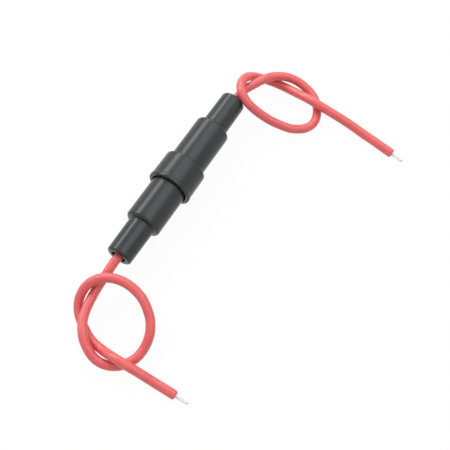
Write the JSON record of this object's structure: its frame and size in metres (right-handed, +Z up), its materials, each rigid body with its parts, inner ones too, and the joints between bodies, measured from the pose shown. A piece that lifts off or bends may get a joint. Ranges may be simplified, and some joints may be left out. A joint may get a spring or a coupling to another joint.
{
  "type": "inline fuse holder",
  "caption": "Screw-together inline holder for a 5 x 20 mm glass fuse, with a spring-loaded contact and a knotted wire lead on each side.",
  "frame": {"origin": "middle of the screwed-up housing, on the surface that it lies on", "axes": "+X along the housing from the body half to the cap half, +Z up, and both leads' tails run towards -Y"},
  "size_m": [0.1001, 0.0542, 0.0124],
  "materials": {
    "shell_plastic": "satin",
    "lead_insulation": "satin",
    "tinned_copper": "satin",
    "solder": "satin",
    "contact_brass": "satin",
    "fuse_cap_metal": "gloss",
    "spring_steel": "satin",
    "fuse_glass": "gloss"
  },
  "bodies": {
    "body_half": {"body_shell": "shell_plastic", "contact_spring": "spring_steel"},
    "sprung_lead": {"spring_contact": "contact_brass", "spring_contact_solder": "solder", "body_lead": "lead_insulation", "body_lead_conductor": "tinned_copper", "body_lead_tip": "tinned_copper", "fuse_tube": "fuse_glass", "fuse_element": "solder", "fuse_cap_body_end": "fuse_cap_metal", "fuse_cap_cap_end": "fuse_cap_metal", "fuse_solder_body_end": "solder", "fuse_solder_cap_end": "solder"},
    "fixed_lead": {"fixed_contact": "contact_brass", "fixed_contact_solder": "solder", "cap_lead": "lead_insulation", "cap_lead_conductor": "tinned_copper", "cap_lead_tip": "tinned_copper"},
    "cap_half": {"cap_shell": "shell_plastic"}
  },
  "joints": [
    {"name": "screw_travel", "type": "slide", "parent": "body_half", "child": "sprung_lead", "axis": [1, 0, 0], "range_m": [0, 0.00375], "deforming": ["contact_spring"]},
    {"name": "cap_pull", "type": "slide", "parent": "sprung_lead", "child": "fixed_lead", "axis": [1, 0, 0], "range_m": [0, 0.022]},
    {"name": "cap_turn", "type": "hinge", "parent": "fixed_lead", "child": "cap_half", "pos_m": [0, 0, 0.0062], "axis": [1, 0, 0], "range_deg": [0, 900]}
  ],
  "couplings": [
    {"joint": "cap_turn", "follows": "screw_travel", "rad_per_m": 4188.8}
  ]
}
